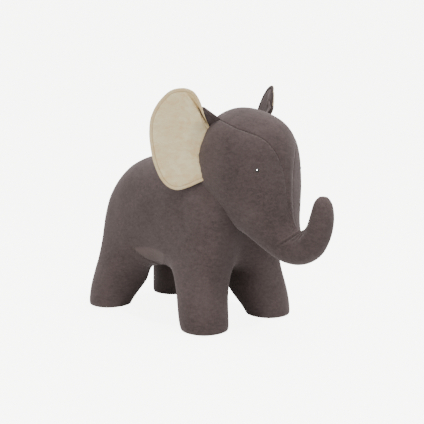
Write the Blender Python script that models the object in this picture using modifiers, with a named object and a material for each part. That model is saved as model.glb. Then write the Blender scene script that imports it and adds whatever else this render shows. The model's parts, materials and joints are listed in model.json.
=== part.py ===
"""Upholstered elephant stool: a timber frame in foam, under a sewn fabric skin.

Metres, +Z up. The animal faces -Y and its right side is at -X. The origin is on the floor,
at the centre of the bounding box. Positions below are measured from the point on the floor
midway between the four feet; BASE moves them to the origin.
"""
import math

import bmesh
import bpy
from mathutils import Vector

for old in list(bpy.data.objects):
    bpy.data.objects.remove(old, do_unlink=True)

# ---- driving dimensions ----------------------------------------------------------------
BASE = Vector((0.0, 0.110, 0.0))     # from the midpoint of the feet to the origin
FABRIC = 0.0018                      # thickness of the suede-like cover fabric
GAP = 0.0004                         # clearance between pieces that touch
SEAM = 0.0009                        # each panel stops this far short of its seam line
FOAM_GAP = 0.0020                    # foam to fabric, where the sewn skin bridges hollows
NECK_GAP = 0.0014                    # body to head, where the two forms are sewn together
FOOT_X, FOOT_Y = 0.116, 0.191        # centre of a foot
GLIDE_R, GLIDE_H = 0.018, 0.0025     # plastic glide under each foot
SOLE_Z = GLIDE_H + GAP               # underside of the soles
LEG_CUT = 0.115                      # leg foam ends and torso foam starts at this height

POST = 0.034                         # square legs of the timber frame
POST_X, POST_Y, POST_TOP = 0.104, 0.176, 0.205
RAIL_T, RAIL_LOW = 0.018, 0.160      # rails: thickness and lower edge
BOARD_T = 0.012                      # plywood seat board
NECK_Y, NECK_W, NECK_TOP = -0.150, 0.036, 0.430

TRUNK_PIVOT = Vector((0.0, -0.345, 0.225))
BALL_R, SOCKET_GAP = 0.0610, 0.0012  # the trunk's root turns as a ball in the head
TRUNK_FRONT = -0.370                 # all of the shape in front of this is trunk

EAR_SWEEP = math.radians(55)         # the ears point sideways and back by this angle
EAR_BASE = Vector((0.1178, -0.1640, 0.0))
EAR_AXIS_LOW = Vector((0.1145, -0.1684, 0.385))
EAR_AXIS_TOP = Vector((0.1089, -0.1680, 0.455))
EAR_ROLL_R = 0.0032                  # rolled seam allowance that the ear turns on
EAR_RIM, EAR_FULL = 0.0020, 0.0045   # half thickness at the edge and inside
# the left ear is sewn on a little higher and further forward, and curls further over
EAR_MOVED = {1: Vector((0.0015, -0.0120, 0.0180)), -1: Vector()}
EAR_CURL = {1: 0.032, -1: 0.020}

EYE_AT = Vector((0.0778, -0.3263, 0.3961))
EYE_OUT = Vector((0.71, -0.70, 0.10)).normalized()
EYE_R, EYE_STEM, WASHER_R = 0.0050, 0.0015, 0.0065

TAIL_AT = Vector((0.0, 0.2285, 0.334))
TAIL_R, TAIL_LENGTH = 0.0075, 0.105

# Half sections of the body, back ridge to belly: y, then (x, z) of the ridge, shoulder, flank,
# side, top of the outer leg, seam under the flank, top of the inner leg and belly centre.
BODY_SECTIONS = [
    (-0.228, [(0, 0.385), (0.055, 0.372), (0.098, 0.320), (0.118, 0.245),
              (0.134, 0.150), (0.100, 0.112), (0.050, 0.138), (0, 0.165)]),
    (-0.168, [(0, 0.428), (0.066, 0.414), (0.112, 0.356), (0.129, 0.262),
              (0.145, 0.150), (0.110, 0.100), (0.046, 0.130), (0, 0.144)]),
    (-0.085, [(0, 0.430), (0.070, 0.416), (0.119, 0.360), (0.135, 0.270),
              (0.138, 0.175), (0.106, 0.118), (0.050, 0.124), (0, 0.127)]),
    (0.000, [(0, 0.430), (0.073, 0.416), (0.124, 0.360), (0.140, 0.275),
             (0.136, 0.200), (0.102, 0.149), (0.055, 0.130), (0, 0.122)]),
    (0.085, [(0, 0.426), (0.071, 0.412), (0.121, 0.356), (0.137, 0.270),
             (0.138, 0.175), (0.106, 0.118), (0.050, 0.124), (0, 0.127)]),
    (0.166, [(0, 0.404), (0.066, 0.390), (0.113, 0.336), (0.132, 0.252),
             (0.148, 0.150), (0.112, 0.100), (0.046, 0.130), (0, 0.144)]),
    (0.222, [(0, 0.345), (0.055, 0.332), (0.098, 0.284), (0.119, 0.220),
             (0.136, 0.150), (0.104, 0.112), (0.050, 0.138), (0, 0.165)]),
]
# Leg rings: height above the sole, centre x and y, radius, and how far the corner that
# faces the middle of the animal spreads towards it.
LEG_RINGS = [(0.078, 0.1105, 0.184, 0.061, 0.034), (0.034, 0.115, 0.1895, 0.0625, 0.012),
             (0.005, 0.116, 0.191, 0.062, 0.0), (0.0, 0.116, 0.191, 0.052, 0.0)]
# Head and trunk rings, from the back of the head to the trunk's tip: (y, z) on top, (y, z)
# underneath, half width, half width of the gusset that runs over the top.
HEAD_RINGS = [
    ((-0.098, 0.450), (-0.090, 0.375), 0.040, 0.025),
    ((-0.118, 0.492), (-0.098, 0.330), 0.080, 0.052),
    ((-0.163, 0.537), (-0.127, 0.285), 0.110, 0.078),
    ((-0.220, 0.556), (-0.183, 0.248), 0.121, 0.088),
    ((-0.285, 0.545), (-0.228, 0.233), 0.120, 0.090),
    ((-0.338, 0.492), (-0.255, 0.220), 0.107, 0.061),
    ((-0.358, 0.415), (-0.282, 0.206), 0.086, 0.022),
    ((-0.360, 0.340), (-0.307, 0.193), 0.066, 0.012),
    ((-0.364, 0.285), (-0.330, 0.181), 0.052, 0.011),
    ((-0.380, 0.253), (-0.362, 0.172), 0.042, 0.011),
    ((-0.401, 0.256), (-0.412, 0.174), 0.037, 0.011),
    ((-0.413, 0.270), (-0.459, 0.207), 0.034, 0.010),
    ((-0.421, 0.297), (-0.480, 0.270), 0.031, 0.009),
    ((-0.430, 0.326), (-0.478, 0.318), 0.025, 0.007),
    ((-0.441, 0.342), (-0.467, 0.339), 0.013, 0.004),
]
HEAD_ANGLES = [0, None, 66, 92, 128, 155, 180]   # columns round a ring; None is the gusset seam
# Ear rows, lower edge to upper edge: (distance out from the root, height) for five points.
EAR_ROWS = [
    [(0.000, 0.366), (0.015, 0.350), (0.044, 0.341), (0.069, 0.345), (0.091, 0.362)],
    [(0.000, 0.392), (0.020, 0.387), (0.046, 0.382), (0.079, 0.383), (0.106, 0.393)],
    [(0.000, 0.428), (0.023, 0.428), (0.051, 0.430), (0.087, 0.434), (0.118, 0.442)],
    [(-0.001, 0.460), (0.022, 0.470), (0.051, 0.478), (0.088, 0.485), (0.121, 0.490)],
    [(-0.006, 0.490), (0.014, 0.515), (0.041, 0.533), (0.078, 0.538), (0.112, 0.536)],
    [(-0.016, 0.515), (-0.004, 0.552), (0.020, 0.590), (0.059, 0.596), (0.094, 0.574)],
]

# ---- collections, materials and small helpers ------------------------------------------
parts = bpy.data.collections.new("elephant_stool")
cutters = bpy.data.collections.new("cutters")
bpy.context.scene.collection.children.link(parts)
bpy.context.scene.collection.children.link(cutters)


def material(name, colour, roughness, metallic=0.0):
    mat = bpy.data.materials.new(name)
    mat.use_nodes = True
    shader = mat.node_tree.nodes["Principled BSDF"]
    shader.inputs["Base Color"].default_value = (*colour, 1.0)
    shader.inputs["Roughness"].default_value = roughness
    shader.inputs["Metallic"].default_value = metallic
    mat.diffuse_color = (*colour, 1.0)
    return mat


grey = material("grey_suede", (0.110, 0.085, 0.082), 0.9)
cream = material("cream_suede", (0.590, 0.500, 0.385), 0.9)
foam = material("foam", (0.80, 0.74, 0.55), 0.95)
pine = material("pine", (0.62, 0.44, 0.26), 0.6)
ply = material("plywood", (0.68, 0.52, 0.34), 0.6)
steel = material("steel", (0.55, 0.55, 0.57), 0.35, 1.0)
black = material("black_gloss", (0.010, 0.009, 0.009), 0.08)
plastic = material("black_plastic", (0.030, 0.030, 0.032), 0.45)


def add(name, mesh, mat=None, origin=None, smooth=True):
    """Link a piece whose mesh is in body coordinates; origin is a point on its joint."""
    at = Vector(origin) if origin else Vector()
    for v in mesh.vertices:
        v.co -= at
    obj = bpy.data.objects.new(name, mesh)
    obj.location = at + BASE
    if mat:
        mesh.materials.clear()
        mesh.materials.append(mat)
        parts.objects.link(obj)
    else:
        obj.hide_render = True
        obj.display_type = "WIRE"
        cutters.objects.link(obj)
    if smooth:
        mesh.shade_smooth()
        mesh.set_sharp_from_angle(angle=math.radians(40))
    return obj


def to_mesh(bm, name):
    mesh = bpy.data.meshes.new(name)
    bm.normal_update()
    bm.to_mesh(mesh)
    bm.free()
    return mesh


def box(name, centre, size, mat=None, origin=None, bevel=0.0):
    bm = bmesh.new()
    bmesh.ops.create_cube(bm, size=1.0)
    bmesh.ops.scale(bm, vec=size, verts=bm.verts)
    bmesh.ops.translate(bm, vec=centre, verts=bm.verts)
    obj = add(name, to_mesh(bm, name), mat, origin, smooth=False)
    if bevel:
        mod = obj.modifiers.new("rounded_edges", "BEVEL")
        mod.width, mod.segments = bevel, 1
    return obj


def grown(name, centre, size, by=GAP):
    return box(name, centre, [s + 2 * by for s in size])


def rod(name, start, end, radius, mat=None, origin=None, sides=16, radius_end=None):
    start, end = Vector(start), Vector(end)
    bm = bmesh.new()
    bmesh.ops.create_cone(bm, cap_ends=True, segments=sides, radius1=radius,
                          radius2=radius if radius_end is None else radius_end,
                          depth=(end - start).length)
    turn = (end - start).to_track_quat("Z", "Y").to_matrix()
    bmesh.ops.rotate(bm, cent=(0, 0, 0), matrix=turn, verts=bm.verts)
    bmesh.ops.translate(bm, vec=(start + end) / 2, verts=bm.verts)
    return add(name, to_mesh(bm, name), mat, origin)


def ball(name, centre, radius, around=24, rings=12):
    bm = bmesh.new()
    bmesh.ops.create_uvsphere(bm, u_segments=around, v_segments=rings, radius=radius)
    bmesh.ops.rotate(bm, cent=(0, 0, 0), verts=bm.verts,
                     matrix=Vector((1, 0, 0)).to_track_quat("Z", "Y").to_matrix())
    bmesh.ops.translate(bm, vec=centre, verts=bm.verts)
    return add(name, to_mesh(bm, name))


def turned(name, profile, at, along, mat, steps=16):
    """A profile of (radius, height) pairs, top to bottom, turned about its own Z."""
    mesh = bpy.data.meshes.new(name)
    mesh.from_pydata([(r, 0, h) for r, h in profile],
                     [(i, i + 1) for i in range(len(profile) - 1)], [])
    obj = add(name, mesh, mat, smooth=False)
    obj.location = Vector(at) + BASE
    obj.rotation_euler = Vector(along).to_track_quat("Z", "Y").to_euler()
    mod = obj.modifiers.new("turned", "SCREW")
    mod.steps = mod.render_steps = steps
    mod.use_merge_vertices, mod.merge_threshold = True, 1e-5
    mod.use_smooth_shade = True
    return obj


def boolean(obj, cutter, operation="DIFFERENCE"):
    mod = obj.modifiers.new(cutter.name, "BOOLEAN")
    mod.object, mod.operation, mod.solver = cutter, operation, "EXACT"


def form(name, bm, mat=None, offset=0.0, level=1, origin=None):
    """A soft form from the half cage in bm, mirrored, smoothed and offset along its normals."""
    bmesh.ops.recalc_face_normals(bm, faces=bm.faces)
    obj = add(name, to_mesh(bm, name), mat, origin)
    mirror = obj.modifiers.new("other_half", "MIRROR")
    mirror.use_clip, mirror.merge_threshold = True, 1e-5
    smooth = obj.modifiers.new("smooth", "SUBSURF")
    smooth.levels = smooth.render_levels = level
    if offset:
        swell = obj.modifiers.new("offset", "DISPLACE")
        swell.mid_level, swell.strength = 0.0, offset
    return obj


def surface(bm, level=1):
    """The smoothed form as plain mesh data, with the cage's panel numbers on its faces."""
    temp = form("temp", bm, level=level)
    shape = bpy.data.meshes.new_from_object(
        temp.evaluated_get(bpy.context.evaluated_depsgraph_get()))
    bpy.data.objects.remove(temp)
    return shape


def panel(name, shape, keep, mat, origin=None):
    """A sewn fabric panel: the faces of a form that pass keep(), given their thickness."""
    bm = bmesh.new()
    bm.from_mesh(shape)
    bmesh.ops.delete(bm, context="FACES", geom=[f for f in bm.faces if not keep(f)])
    pull = {}
    for v in bm.verts:
        if v.is_boundary:
            middle = sum((f.calc_center_median() for f in v.link_faces), Vector())
            inward = middle / len(v.link_faces) - v.co
            pull[v] = inward.normalized() * SEAM
    for v, step in pull.items():
        v.co += step
    for f in bm.faces:
        f.material_index = 0
    obj = add(name, to_mesh(bm, name), mat, origin)
    cloth = obj.modifiers.new("fabric", "SOLIDIFY")
    cloth.thickness, cloth.offset = FABRIC, -1.0
    return obj


# ---- cages -----------------------------------------------------------------------------
COVER, BELLY, SOLE = 0, 1, 2
SIDE, GUSSET = 0, 1


def body_cage():
    """Right half of the body at +X: rings along Y, a patch over each end, and two legs."""
    bm = bmesh.new()
    last = len(BODY_SECTIONS) - 1
    ring = [[bm.verts.new((x, y, z)) for x, z in half] for y, half in BODY_SECTIONS]

    def face(verts, tag=COVER):
        bm.faces.new(verts).material_index = tag

    leg_stations = (0, 1, last - 2, last - 1)
    for j in range(last):
        for k in range(7):
            if k in (4, 5) and j in leg_stations:
                continue
            face((ring[j][k], ring[j][k + 1], ring[j + 1][k + 1], ring[j + 1][k]),
                 BELLY if k > 4 else COVER)
    for j in (1, last - 1):
        bm.verts.remove(ring[j][5])
    # chest and rump: a patch of quads, drawn in between the legs
    for j, bulge in ((0, -0.012), (last, 0.012)):
        a = ring[j]
        y = BODY_SECTIONS[j][0] + bulge
        top, low = a[0].co.z, a[7].co.z
        b1 = bm.verts.new((0, y, top + (low - top) * 0.33))
        b2 = bm.verts.new((0, y - bulge * 2.2, top + (low - top) * 0.72))
        p1 = bm.verts.new((0.058, y, top + (low - top) * 0.36))
        p2 = bm.verts.new((0.062, y, top + (low - top) * 0.70))
        a[7].co.y -= bulge * 2.6
        face((a[0], a[1], p1, b1))
        face((a[1], a[2], a[3], p1))
        face((b1, p1, p2, b2))
        face((p1, a[3], a[4], p2))
        face((b2, p2, a[6], a[7]), BELLY)
        face((p2, a[4], a[5], a[6]))
    # legs: rings of eight points below the torso, ending in a flat sole
    angles = [math.radians(-45 + 45 * i) for i in range(8)]
    for side, (j0, j1, j2) in ((-1, (0, 1, 2)), (1, (last - 2, last - 1, last))):
        above = [ring[j0][4], ring[j1][4], ring[j2][4], ring[j2][5],
                 ring[j2][6], ring[j1][6], ring[j0][6], ring[j0][5]]
        inwards = math.radians(135 if side < 0 else 225)
        for height, cx, cy, radius, spread in LEG_RINGS:
            below = []
            for i, angle in enumerate(angles):
                r = radius * (1.06 if i % 2 == 0 else 1.0)
                s = spread * max(0.0, math.cos(angle - inwards)) ** 1.5
                below.append(bm.verts.new((
                    cx + r * math.cos(angle) + s * math.cos(inwards),
                    side * cy + r * math.sin(angle) + s * math.sin(inwards),
                    SOLE_Z + height)))
            for i in range(8):
                tag = SOLE if height == 0 else (BELLY if 3 <= i <= 6 else COVER)
                face((above[i], below[i], below[(i + 1) % 8], above[(i + 1) % 8]), tag)
            above = below
        centre = bm.verts.new((LEG_RINGS[-1][1], side * LEG_RINGS[-1][2], SOLE_Z))
        for i in (1, 3, 5, 7):
            face((above[i], centre, above[(i + 2) % 8], above[(i + 1) % 8]), SOLE)
    return bm


def head_cage():
    """Half of the head and trunk at +X: half rings from the nape to the trunk's tip."""
    bm = bmesh.new()
    rings = []
    for top, bottom, width, gusset in HEAD_RINGS:
        top, bottom = Vector((0, *top)), Vector((0, *bottom))
        middle, up = (top + bottom) / 2, (top - bottom) / 2
        row = []
        for degrees in HEAD_ANGLES:
            angle = math.asin(gusset / width) if degrees is None else math.radians(degrees)
            row.append(bm.verts.new(middle + up * math.cos(angle)
                                    + Vector((width * math.sin(angle), 0, 0))))
        rings.append(row)
    for a, b in zip(rings, rings[1:]):
        for k in range(6):
            face = bm.faces.new((a[k], b[k], b[k + 1], a[k + 1]))
            face.material_index = GUSSET if k == 0 else SIDE
    for row in (rings[0], rings[-1]):
        for corners in ((0, 1, 2, 3), (0, 3, 4, 6), (4, 5, 6)):
            bm.faces.new([row[k] for k in corners])
    return bm


def ear_middle(side):
    """The ear's middle surface as a smoothed grid; side is 1 for left and -1 for right."""
    out = Vector((side * math.cos(EAR_SWEEP), math.sin(EAR_SWEEP), 0))
    front = Vector((side * math.sin(EAR_SWEEP), -math.cos(EAR_SWEEP), 0))
    base = Vector((side * EAR_BASE.x, EAR_BASE.y, 0)) + EAR_MOVED[side]
    bm = bmesh.new()
    grid = []
    for row in EAR_ROWS:
        line = []
        for along, height in row:
            curl = EAR_CURL[side] * max(0.0, (height - 0.42) / 0.17) ** 2
            dish = -0.008 * math.sin(math.pi * min(1.0, max(0.0, (along + 0.02) / 0.135)))
            line.append(bm.verts.new(base + out * along + front * (curl + dish)
                                     + Vector((0, 0, height))))
        grid.append(line)
    for a, b in zip(grid, grid[1:]):
        for k in range(4):
            quad = (a[k], a[k + 1], b[k + 1], b[k])
            bm.faces.new(quad if side < 0 else quad[::-1])
    mesh = to_mesh(bm, "ear_middle")
    temp = add("temp", mesh)
    smooth = temp.modifiers.new("smooth", "SUBSURF")
    smooth.levels = smooth.render_levels = 1
    shape = bpy.data.meshes.new_from_object(
        temp.evaluated_get(bpy.context.evaluated_depsgraph_get()))
    bpy.data.objects.remove(temp)
    return shape


# ---- timber frame ----------------------------------------------------------------------
rail_height = POST_TOP - RAIL_LOW
rail_z = (POST_TOP + RAIL_LOW) / 2
rail_x = POST_X - POST / 2 - GAP - RAIL_T / 2
cross_length = 2 * (rail_x - RAIL_T / 2 - GAP)
board_z = POST_TOP + GAP + BOARD_T / 2
board_top = board_z + BOARD_T / 2
post_low = 0.012
timber = {
    "frame_rail_left": ((rail_x, 0, rail_z), (RAIL_T, 0.380, rail_height), pine),
    "frame_rail_right": ((-rail_x, 0, rail_z), (RAIL_T, 0.380, rail_height), pine),
    "frame_cross_front": ((0, -POST_Y, rail_z), (cross_length, RAIL_T, rail_height), pine),
    "frame_cross_rear": ((0, POST_Y, rail_z), (cross_length, RAIL_T, rail_height), pine),
    "seat_board": ((0, 0, board_z), (0.224, 0.384, BOARD_T), ply),
    "neck_post": ((0, NECK_Y, (board_top + GAP + NECK_TOP) / 2),
                  (NECK_W, NECK_W, NECK_TOP - board_top - GAP), pine),
}
corners = [("front_left", 1, -1), ("front_right", -1, -1), ("rear_left", 1, 1),
           ("rear_right", -1, 1)]
for corner, sx, sy in corners:
    timber["leg_post_" + corner] = ((sx * POST_X, sy * POST_Y, (post_low + POST_TOP) / 2),
                                    (POST, POST, POST_TOP - post_low), pine)
wood = {}
pockets = {}
for name, (centre, size, mat) in timber.items():
    wood[name] = box(name, centre, size, mat, bevel=0.0015)
    pockets[name] = grown(name + "_pocket", centre, size)

# countersunk screws: through the seat board into each post, and up into the neck post
screw_spots = [("seat_screw_" + corner, (sx * POST_X, sy * POST_Y), board_top, -1,
                ("seat_board", "leg_post_" + corner)) for corner, sx, sy in corners]
screw_spots += [("neck_screw_" + side, (sx * 0.009, NECK_Y), board_top - BOARD_T, 1,
                 ("seat_board", "neck_post")) for side, sx in (("left", 1), ("right", -1))]
for name, (x, y), z, sense, held_in in screw_spots:
    profile = [(0, -0.0004), (0.0038, -0.0004), (0.0020, -0.0026), (0.0020, -0.0300),
               (0, -0.0330)]
    turned(name, profile, (x, y, z), (0, 0, -sense), steel, steps=8)
    hole = [(0, 0.004), (0.0044, 0.004), (0.0044, -0.0002), (0.0024, -0.0026),
            (0.0024, -0.0306), (0, -0.0336)]
    cutter = turned(name + "_hole", hole, (x, y, z), (0, 0, -sense), steel, steps=8)
    parts.objects.unlink(cutter)
    cutters.objects.link(cutter)
    cutter.hide_render, cutter.display_type = True, "WIRE"
    for host in held_in:
        boolean(wood[host], cutter)

# ---- foam ------------------------------------------------------------------------------
foam_offset = -(FABRIC + FOAM_GAP)
head_room = form("head_room", head_cage(), offset=NECK_GAP)
halves = {"left": box("left_half", (0.25 + GAP / 2, -0.1, 0.3), (0.5, 1.2, 0.8)),
          "right": box("right_half", (-0.25 - GAP / 2, -0.1, 0.3), (0.5, 1.2, 0.8))}
above_legs = box("above_legs", (0, 0, LEG_CUT + 0.25), (0.6, 0.8, 0.5))
for side, half in halves.items():
    torso = form("torso_foam_" + side, body_cage(), foam, foam_offset)
    boolean(torso, half, "INTERSECT")
    boolean(torso, above_legs, "INTERSECT")
    boolean(torso, head_room)
    for pocket in pockets.values():
        boolean(torso, pocket)
for corner, sx, sy in corners:
    leg = form("leg_foam_" + corner, body_cage(), foam, foam_offset - 2 * GAP)
    zone = box("leg_zone_" + corner, (sx * 0.15, sy * 0.15, (LEG_CUT - GAP) / 2),
               (0.3 - GAP, 0.3, LEG_CUT - GAP))
    boolean(leg, zone, "INTERSECT")
    boolean(leg, pockets["leg_post_" + corner])

# ---- head and trunk --------------------------------------------------------------------
trunk_zone_size = (0.16, 0.20, 0.28)
trunk_zone = ball("trunk_zone", TRUNK_PIVOT, BALL_R)
boolean(trunk_zone, box("trunk_front", (0, TRUNK_FRONT - 0.10, 0.235), trunk_zone_size), "UNION")
socket = ball("trunk_socket", TRUNK_PIVOT, BALL_R + SOCKET_GAP)
head_end = box("head_end", (0, TRUNK_FRONT + GAP - 0.10, 0.235), trunk_zone_size)


def leave_trunk_out(obj):
    boolean(obj, socket)
    boolean(obj, head_end)


eye_cuts = {}
for side, sx in (("left", 1), ("right", -1)):
    at = Vector((sx * EYE_AT.x, EYE_AT.y, EYE_AT.z))
    out = Vector((sx * EYE_OUT.x, EYE_OUT.y, EYE_OUT.z))
    base = GAP                                     # the bead sits just clear of the fabric
    bead = [(0, base + EYE_R * 0.72)]
    bead += [(EYE_R * math.sin(a), base + EYE_R * 0.72 * math.cos(a))
             for a in (math.radians(d) for d in (25, 50, 72, 90))]
    bead += [(EYE_STEM, base), (EYE_STEM, -0.0100), (0, -0.0108)]
    turned("eye_" + side, bead, at, out, black, steps=16)
    washer = [(EYE_STEM + GAP, -0.0052), (WASHER_R, -0.0052), (WASHER_R, -0.0062),
              (EYE_STEM + GAP, -0.0062), (EYE_STEM + GAP, -0.0052)]
    turned("eye_washer_" + side, washer, at, out, plastic, steps=12)
    eye_cuts[side] = (rod("eye_hole_" + side, at - out * 0.02, at + out * 0.02,
                          EYE_STEM + GAP, sides=12),
                      rod("eye_pocket_" + side, at - out * 0.0120, at + out * 0.004,
                          WASHER_R + GAP, sides=12))

for side, half in halves.items():
    filling = form("head_foam_" + side, head_cage(), foam, foam_offset)
    boolean(filling, half, "INTERSECT")
    boolean(filling, pockets["neck_post"])
    leave_trunk_out(filling)
    boolean(filling, eye_cuts[side][1])

trunk_filling = form("trunk_foam", head_cage(), foam, foam_offset, origin=TRUNK_PIVOT)
boolean(trunk_filling, trunk_zone, "INTERSECT")

head_shape = surface(head_cage())
head_panels = {
    "head_side_left": lambda f: f.material_index == SIDE and f.calc_center_median().x > 0,
    "head_side_right": lambda f: f.material_index == SIDE and f.calc_center_median().x < 0,
    "head_gusset": lambda f: f.material_index == GUSSET,
}
for name, keep in head_panels.items():
    cover = panel(name, head_shape, keep, grey)
    leave_trunk_out(cover)
    boolean(cover, pockets["neck_post"])
    for side in halves:
        if name.endswith(side):
            boolean(cover, eye_cuts[side][0])
trunk_cover = panel("trunk_cover", head_shape, lambda f: f.calc_center_median().y < -0.27
                    and f.calc_center_median().z < 0.40, grey, TRUNK_PIVOT)
boolean(trunk_cover, trunk_zone, "INTERSECT")

# ---- body covers, soles and glides -----------------------------------------------------
body_shape = surface(body_cage())
body_cover = panel("body_cover", body_shape, lambda f: f.material_index == COVER, grey)
belly = panel("belly_panel", body_shape, lambda f: f.material_index == BELLY, grey)
for cover in (body_cover, belly):
    boolean(cover, head_room)
for corner, sx, sy in corners:
    panel("sole_" + corner, body_shape, lambda f: f.material_index == SOLE
          and f.calc_center_median().x * sx > 0 and f.calc_center_median().y * sy > 0, grey)
    foot = (sx * FOOT_X, sy * FOOT_Y)
    rod("foot_glide_" + corner, (*foot, 0), (*foot, GLIDE_H), GLIDE_R, plastic, sides=24)

# ---- ears ------------------------------------------------------------------------------
for side, sx in (("left", 1), ("right", -1)):
    low = Vector((sx * EAR_AXIS_LOW.x, EAR_AXIS_LOW.y, EAR_AXIS_LOW.z)) + EAR_MOVED[sx]
    top = Vector((sx * EAR_AXIS_TOP.x, EAR_AXIS_TOP.y, EAR_AXIS_TOP.z)) + EAR_MOVED[sx]
    rod("ear_roll_" + side, low, top, EAR_ROLL_R, grey, sides=12)
    middle = ear_middle(sx)
    bm = bmesh.new()
    bm.from_mesh(middle)
    rim = {v.index for v in bm.verts if v.is_boundary}
    normals = {v.index: v.normal.copy() for v in bm.verts}
    bm.free()
    for layer, sense, mat in (("ear_front_", 1, cream), ("ear_back_", -1, grey)):
        bm = bmesh.new()
        bm.from_mesh(middle)
        for v in bm.verts:
            v.co += normals[v.index] * sense * (EAR_RIM if v.index in rim else EAR_FULL)
        if sense < 0:
            bmesh.ops.reverse_faces(bm, faces=bm.faces)
        sheet = add(layer + side, to_mesh(bm, layer + side), mat, low)
        cloth = sheet.modifiers.new("fabric", "SOLIDIFY")
        cloth.thickness, cloth.offset = FABRIC, -1.0
    bm = bmesh.new()
    bm.from_mesh(middle)
    outer = [f for f in bm.faces if any(v.index in rim for v in f.verts)]
    bmesh.ops.delete(bm, context="FACES", geom=outer)
    wadding = add("ear_wadding_" + side, to_mesh(bm, "ear_wadding_" + side), foam, low)
    fill = wadding.modifiers.new("wadding", "SOLIDIFY")
    fill.thickness, fill.offset = 2 * (EAR_FULL - FABRIC - GAP), 0.0

# ---- tail ------------------------------------------------------------------------------
tail = [(0, TAIL_R)]
tail += [(TAIL_R * math.sin(math.radians(d)), TAIL_R * math.cos(math.radians(d)))
         for d in (35, 65, 90)]
tail += [(TAIL_R * 0.80, -TAIL_LENGTH * 0.55), (TAIL_R * 0.70, -TAIL_LENGTH * 0.85),
         (TAIL_R * 0.45, -TAIL_LENGTH * 0.96), (0, -TAIL_LENGTH)]
turned("tail", tail, TAIL_AT, (0, -0.25, 1), grey, steps=10)
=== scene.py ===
# Elephant stool: sewn suede skin, cream-faced ears, bead eyes, soft studio light.
import json
import math

import bmesh
import bpy
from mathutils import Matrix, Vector, noise
from mathutils.bvhtree import BVHTree
from mathutils.kdtree import KDTree


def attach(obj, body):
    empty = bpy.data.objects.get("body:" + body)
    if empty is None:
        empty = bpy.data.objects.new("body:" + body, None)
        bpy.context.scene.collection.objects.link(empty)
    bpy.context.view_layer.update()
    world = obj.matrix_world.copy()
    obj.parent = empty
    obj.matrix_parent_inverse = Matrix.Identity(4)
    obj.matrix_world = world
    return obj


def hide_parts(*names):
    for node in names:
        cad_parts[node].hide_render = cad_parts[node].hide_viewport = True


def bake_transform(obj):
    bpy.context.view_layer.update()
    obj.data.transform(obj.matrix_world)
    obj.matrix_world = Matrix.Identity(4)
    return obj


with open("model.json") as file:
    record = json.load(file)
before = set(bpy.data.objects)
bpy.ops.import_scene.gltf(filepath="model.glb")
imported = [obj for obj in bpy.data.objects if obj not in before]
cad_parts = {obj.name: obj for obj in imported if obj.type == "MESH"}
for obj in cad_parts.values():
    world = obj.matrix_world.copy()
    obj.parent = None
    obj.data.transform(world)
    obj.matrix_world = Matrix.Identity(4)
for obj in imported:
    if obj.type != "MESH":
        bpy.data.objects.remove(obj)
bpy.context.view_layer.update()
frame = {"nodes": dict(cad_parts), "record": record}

# body measurements are taken from the middle of the four feet, shift moves them to the frame
shift = Vector((0.0, 0.110, 0.0))
pieces = bpy.data.collections.new("stoolPieces")
bpy.context.scene.collection.children.link(pieces)


# shader sums written as Python
class Wire:
    # one output socket; sums on it add Math nodes to its tree
    def __init__(self, board, socket):
        self.board, self.socket = board, socket

    def sum(self, operation, *values, **settings):
        return self.board.node("ShaderNodeMath", {"operation": operation, **settings}, values)

    def __add__(self, other):
        return self.sum("ADD", self, other)

    def __radd__(self, other):
        return self.sum("ADD", other, self)

    def __sub__(self, other):
        return self.sum("SUBTRACT", self, other)

    def __rsub__(self, other):
        return self.sum("SUBTRACT", other, self)

    def __mul__(self, other):
        return self.sum("MULTIPLY", self, other)

    def __rmul__(self, other):
        return self.sum("MULTIPLY", other, self)

    def __pow__(self, other):
        return self.sum("POWER", self, other)

    def __rpow__(self, other):
        return self.sum("POWER", other, self)

    def clamped(self):
        return self.sum("ADD", self, 0.0, use_clamp=True)


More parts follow.
